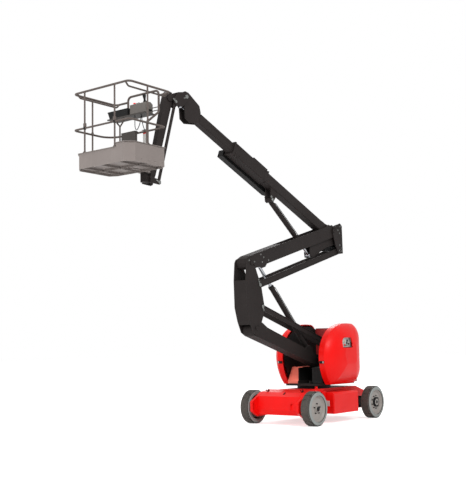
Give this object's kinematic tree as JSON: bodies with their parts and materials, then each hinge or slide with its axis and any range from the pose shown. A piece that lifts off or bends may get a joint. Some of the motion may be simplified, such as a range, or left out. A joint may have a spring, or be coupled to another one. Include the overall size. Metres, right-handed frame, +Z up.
{
  "type": "articulating boom lift",
  "caption": "Self-propelled electric articulating boom lift with folding arms, telescoping boom, jib and railed work platform.",
  "frame": {"origin": "on the ground under the slewing axis, midway between the axles", "axes": "+X forward toward the platform end, +Y to the machine's left, +Z up"},
  "size_m": [6.712, 1.5, 5.4859],
  "materials": {
    "red_paint": "gloss enamel",
    "dark_red_cast": "satin enamel on rough casting",
    "inner_red": "matt paint",
    "charcoal_paint": "satin enamel",
    "black_cast": "satin black",
    "chrome_rod": "polished",
    "warm_grey": "satin enamel",
    "rail_paint": "satin enamel",
    "wheel_grey": "satin enamel",
    "tyre_rubber": "worn matt rubber",
    "black_plastic": "moulded",
    "panel_grey": "moulded"
  },
  "bodies": {
    "chassis": {"chassis_frame": "red_paint", "side_boxes": "red_paint", "front_stub_axles": "black_cast", "rear_axle_beam": "black_cast", "slew_ring": "black_cast"},
    "wheel_front_left": {"tyre_front_left": "tyre_rubber", "wheel_front_left": "wheel_grey"},
    "wheel_front_right": {"tyre_front_right": "tyre_rubber", "wheel_front_right": "wheel_grey"},
    "wheel_rear_left": {"tyre_rear_left": "tyre_rubber", "wheel_rear_left": "wheel_grey"},
    "wheel_rear_right": {"tyre_rear_right": "tyre_rubber", "wheel_rear_right": "wheel_grey"},
    "steer_left": {"steering_knuckle_left": "black_cast"},
    "steer_right": {"steering_knuckle_right": "black_cast"},
    "turret": {"turret_frame": "charcoal_paint", "counterweight": "dark_red_cast", "side_liners": "black_plastic", "ground_controls": "panel_grey", "inner_cover": "inner_red"},
    "hood_left": {"hood_left": "red_paint"},
    "hood_right": {"hood_right": "red_paint"},
    "lower_arm": {"lower_arm": "charcoal_paint"},
    "lower_tie": {"lower_tie": "charcoal_paint"},
    "riser_barrel": {"riser_cylinder": "charcoal_paint"},
    "riser_rod": {"riser_rod": "chrome_rod"},
    "knuckle": {"knuckle": "charcoal_paint"},
    "upper_arm": {"upper_arm": "charcoal_paint"},
    "upper_tie": {"upper_tie": "charcoal_paint"},
    "head": {"arm_head": "charcoal_paint"},
    "boom_base": {"boom_base": "charcoal_paint", "hose_tray": "black_plastic"},
    "boom_lift_barrel": {"boom_lift_cylinder": "charcoal_paint"},
    "boom_lift_rod": {"boom_lift_rod": "chrome_rod"},
    "telescope": {"telescope": "charcoal_paint"},
    "level_bracket": {"level_bracket": "charcoal_paint"},
    "level_barrel": {"level_cylinder": "charcoal_paint"},
    "level_rod": {"level_rod": "chrome_rod"},
    "jib": {"jib_beam": "charcoal_paint"},
    "jib_link": {"jib_link": "charcoal_paint"},
    "jib_barrel": {"jib_cylinder": "charcoal_paint"},
    "jib_rod": {"jib_rod": "chrome_rod"},
    "platform_mount": {"platform_mount": "charcoal_paint"},
    "platform": {"platform_tray": "warm_grey", "platform_rails": "rail_paint", "control_shelf": "rail_paint", "control_box": "panel_grey", "tool_tray": "black_plastic", "document_box": "panel_grey"},
    "entry_bar": {"entry_bar": "rail_paint"}
  },
  "joints": [
    {"name": "front_wheel_left_spin", "type": "hinge", "parent": "chassis", "child": "wheel_front_left", "pos_m": [1, 0.655, 0.3], "axis": [0, 1, 0], "continuous": true},
    {"name": "steer_left", "type": "hinge", "parent": "chassis", "child": "steer_left", "pos_m": [-1, 0.47, 0.3], "axis": [0, 0, 1], "range_deg": [-32, 32]},
    {"name": "rear_wheel_left_spin", "type": "hinge", "parent": "steer_left", "child": "wheel_rear_left", "pos_m": [-1, 0.655, 0.3], "axis": [0, 1, 0], "continuous": true},
    {"name": "front_wheel_right_spin", "type": "hinge", "parent": "chassis", "child": "wheel_front_right", "pos_m": [1, -0.655, 0.3], "axis": [0, 1, 0], "continuous": true},
    {"name": "steer_right", "type": "hinge", "parent": "chassis", "child": "steer_right", "pos_m": [-1, -0.47, 0.3], "axis": [0, 0, 1], "range_deg": [-32, 32]},
    {"name": "rear_wheel_right_spin", "type": "hinge", "parent": "steer_right", "child": "wheel_rear_right", "pos_m": [-1, -0.655, 0.3], "axis": [0, 1, 0], "continuous": true},
    {"name": "turret_slew", "type": "hinge", "parent": "chassis", "child": "turret", "pos_m": [0, 0, 0.63], "axis": [0, 0, 1], "range_deg": [-175, 175]},
    {"name": "hood_left_hinge", "type": "hinge", "parent": "turret", "child": "hood_left", "pos_m": [-0.744, 0.44, 1.2], "axis": [0, 0, 1], "range_deg": [0, 70]},
    {"name": "hood_right_hinge", "type": "hinge", "parent": "turret", "child": "hood_right", "pos_m": [-0.744, -0.44, 1.2], "axis": [0, 0, -1], "range_deg": [0, 70]},
    {"name": "arm_lift", "type": "hinge", "parent": "turret", "child": "lower_arm", "pos_m": [-0.7, 0, 0.89], "axis": [0, -1, 0], "range_deg": [-18, 55]},
    {"name": "knuckle_level", "type": "hinge", "parent": "lower_arm", "child": "knuckle", "pos_m": [1.915, 0, 1.7], "axis": [0, -1, 0], "range_deg": [-55.05, 18.05]},
    {"name": "lower_tie_swing", "type": "hinge", "parent": "turret", "child": "lower_tie", "pos_m": [-0.88, 0, 1.26], "axis": [0, -1, 0], "range_deg": [-18.05, 55.05]},
    {"name": "upper_arm_lift", "type": "hinge", "parent": "knuckle", "child": "upper_arm", "pos_m": [2.025, 0, 2.808], "axis": [0, 1, 0], "range_deg": [-18.05, 55.05]},
    {"name": "upper_tie_swing", "type": "hinge", "parent": "knuckle", "child": "upper_tie", "pos_m": [1.8, 0, 2.44], "axis": [0, 1, 0], "range_deg": [-18.05, 55.05]},
    {"name": "head_level", "type": "hinge", "parent": "upper_arm", "child": "head", "pos_m": [-0.62, 0, 3.58], "axis": [0, 1, 0], "range_deg": [-55.05, 18.05]},
    {"name": "riser_cylinder_swing", "type": "hinge", "parent": "lower_arm", "child": "riser_barrel", "pos_m": [0.206, 0, 1.33196], "axis": [0, -1, 0], "range_deg": [-18.21, 5.99]},
    {"name": "riser_rod_slide", "type": "slide", "parent": "riser_barrel", "child": "riser_rod", "axis": [0.7037, 0, 0.7105], "range_m": [-0.3424, 1.0442]},
    {"name": "boom_lift", "type": "hinge", "parent": "head", "child": "boom_base", "pos_m": [-0.4, 0, 3.603], "axis": [0, 1, 0], "range_deg": [-52.6, 22.4]},
    {"name": "boom_cylinder_swing", "type": "hinge", "parent": "boom_base", "child": "boom_lift_barrel", "pos_m": [1.29003, 0, 3.98505], "axis": [0, 1, 0], "range_deg": [-1.51, 3.49]},
    {"name": "boom_rod_slide", "type": "slide", "parent": "boom_lift_barrel", "child": "boom_lift_rod", "axis": [-0.8, 0, -0.6], "range_m": [-0.2605, 0.6104]},
    {"name": "telescope_slide", "type": "slide", "parent": "boom_base", "child": "telescope", "axis": [0.9245, 0, 0.3811], "range_m": [-0.85, 1.2]},
    {"name": "nose_level", "type": "hinge", "parent": "telescope", "child": "level_bracket", "pos_m": [3.60003, 0, 5.39003], "axis": [0, 1, 0], "range_deg": [-22.45, 52.65]},
    {"name": "level_cylinder_swing", "type": "hinge", "parent": "telescope", "child": "level_barrel", "pos_m": [3.10001, 0, 5.00006], "axis": [0, 1, 0], "range_deg": [-6.24, 2.69]},
    {"name": "level_rod_slide", "type": "slide", "parent": "level_barrel", "child": "level_rod", "axis": [0.9124, 0, 0.4092], "range_m": [-0.1124, 0.0485]},
    {"name": "jib_lift", "type": "hinge", "parent": "level_bracket", "child": "jib", "pos_m": [3.97503, 0, 5.30003], "axis": [0, -1, 0], "range_deg": [0, 80]},
    {"name": "jib_link_swing", "type": "hinge", "parent": "level_bracket", "child": "jib_link", "pos_m": [3.86003, 0, 5.26003], "axis": [0, -1, 0], "range_deg": [-0.05, 80.05]},
    {"name": "jib_cylinder_swing", "type": "hinge", "parent": "level_bracket", "child": "jib_barrel", "pos_m": [3.96403, 0, 5.18003], "axis": [0, -1, 0], "range_deg": [-0.05, 87.87]},
    {"name": "jib_rod_slide", "type": "slide", "parent": "jib_barrel", "child": "jib_rod", "axis": [0.3822, 0, -0.9241], "range_m": [-0.001, 0.1388]},
    {"name": "platform_level", "type": "hinge", "parent": "jib", "child": "platform_mount", "pos_m": [4.37503, 0, 3.96003], "axis": [0, -1, 0], "range_deg": [-80.05, 0.05]},
    {"name": "platform_turn", "type": "hinge", "parent": "platform_mount", "child": "platform", "pos_m": [4.50003, 0, 4.05003], "axis": [0, 0, 1], "range_deg": [-65, 65]},
    {"name": "entry_bar_lift", "type": "slide", "parent": "platform", "child": "entry_bar", "axis": [0, 0, 1], "range_m": [0, 0.35]}
  ],
  "couplings": [
    {"joint": "steer_right", "follows": "steer_left", "ratio": 1},
    {"joint": "knuckle_level", "follows": "arm_lift", "ratio": -1},
    {"joint": "lower_tie_swing", "follows": "arm_lift", "ratio": 1},
    {"joint": "upper_arm_lift", "follows": "arm_lift", "ratio": 1},
    {"joint": "upper_tie_swing", "follows": "arm_lift", "ratio": 1},
    {"joint": "head_level", "follows": "arm_lift", "ratio": -1},
    {"joint": "riser_cylinder_swing", "follows": "arm_lift", "ratio": -0.33016},
    {"joint": "riser_rod_slide", "follows": "arm_lift", "m_per_rad": 1.0867},
    {"joint": "boom_cylinder_swing", "follows": "boom_lift", "ratio": -0.065421},
    {"joint": "boom_rod_slide", "follows": "boom_lift", "m_per_rad": -0.66376},
    {"joint": "nose_level", "follows": "boom_lift", "ratio": -1},
    {"joint": "level_cylinder_swing", "follows": "boom_lift", "ratio": 0.11762},
    {"joint": "level_rod_slide", "follows": "boom_lift", "m_per_rad": 0.1214},
    {"joint": "jib_link_swing", "follows": "jib_lift", "ratio": 1},
    {"joint": "jib_cylinder_swing", "follows": "jib_lift", "ratio": 1.0977},
    {"joint": "jib_rod_slide", "follows": "jib_lift", "m_per_rad": 0.098702},
    {"joint": "platform_level", "follows": "jib_lift", "ratio": -1}
  ]
}
